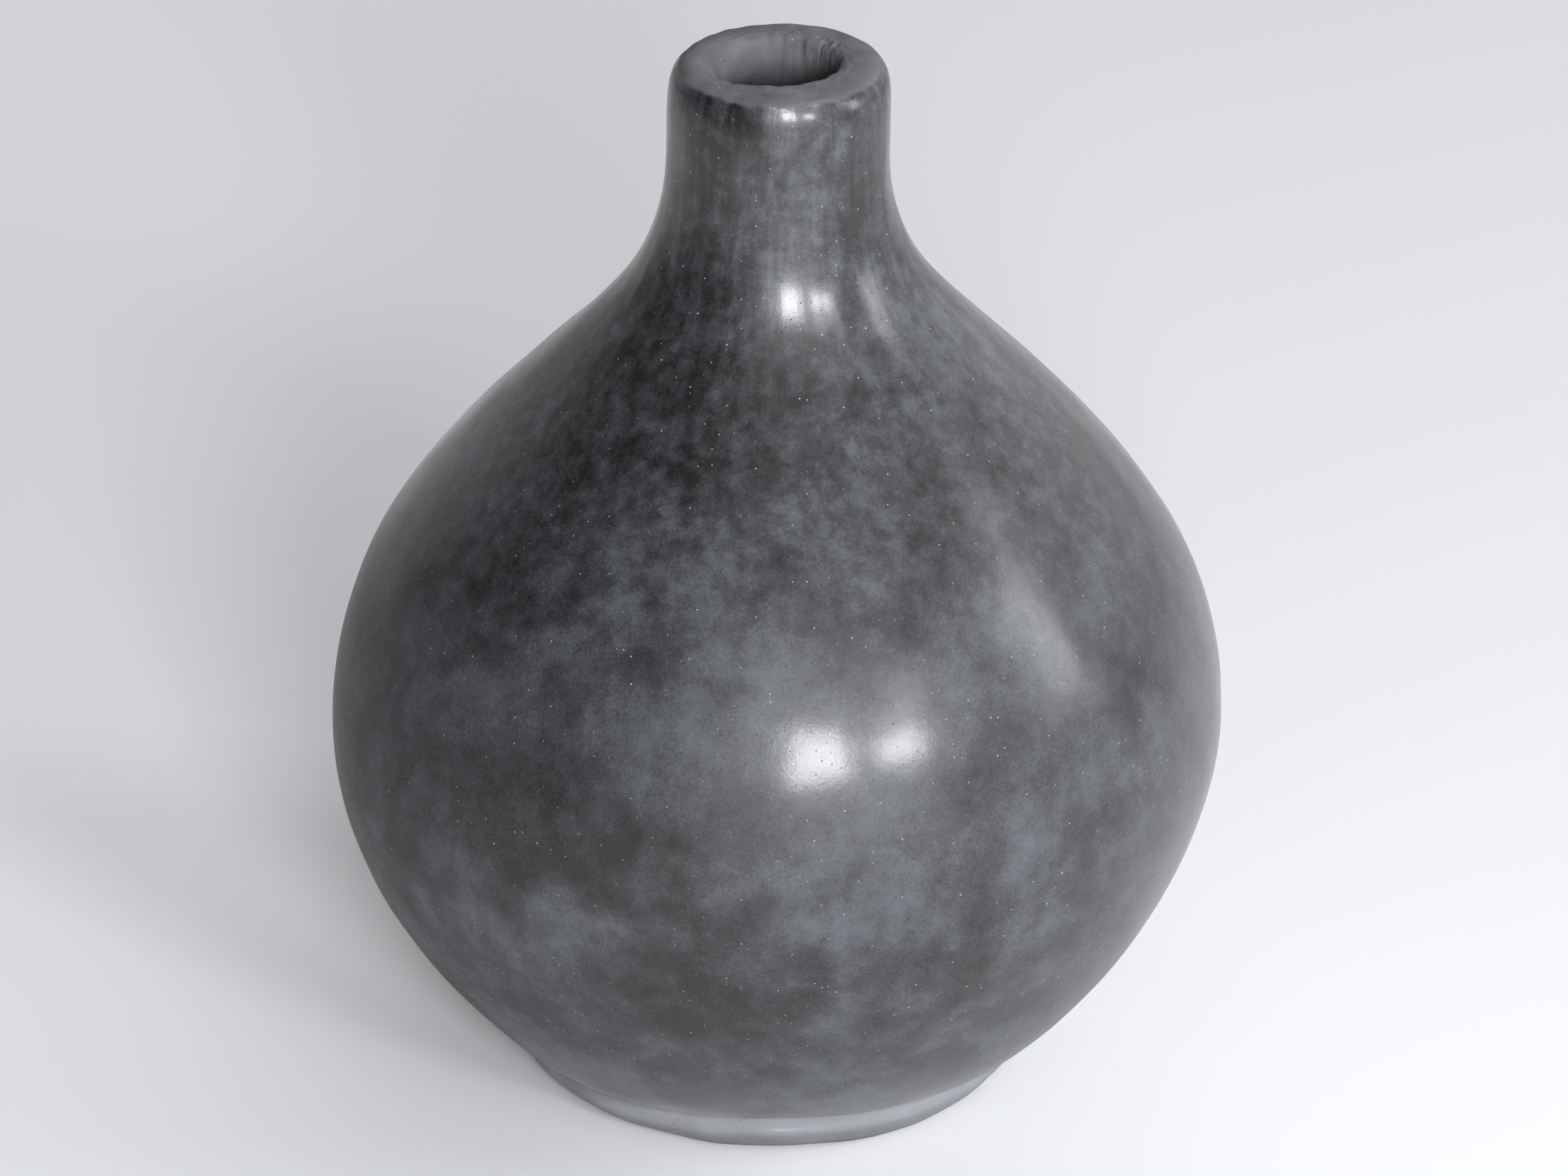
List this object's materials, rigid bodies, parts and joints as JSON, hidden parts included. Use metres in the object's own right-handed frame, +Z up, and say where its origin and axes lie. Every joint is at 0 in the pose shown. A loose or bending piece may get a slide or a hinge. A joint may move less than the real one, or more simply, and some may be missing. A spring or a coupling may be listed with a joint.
{
  "type": "clay pot",
  "caption": "Round-bellied burnished black clay pot with a slim neck, a thick rounded lip with a finger-wide mouth, and a small foot ring.",
  "frame": {"origin": "centre of the foot ring's resting face, on the surface the pot stands on", "axes": "+Z up along the pot's axis of turning, out of the mouth; +Y points away from the front view, +X to its right"},
  "size_m": [0.1636, 0.1636, 0.201],
  "materials": {
    "black_clay": "satin"
  },
  "bodies": {
    "root": {"foot_ring": "black_clay", "base_bowl": "black_clay", "lower_belly_coil": "black_clay", "upper_belly_coil": "black_clay", "shoulder_coil": "black_clay", "neck_coil": "black_clay", "lip_coil": "black_clay"}
  },
  "joints": []
}
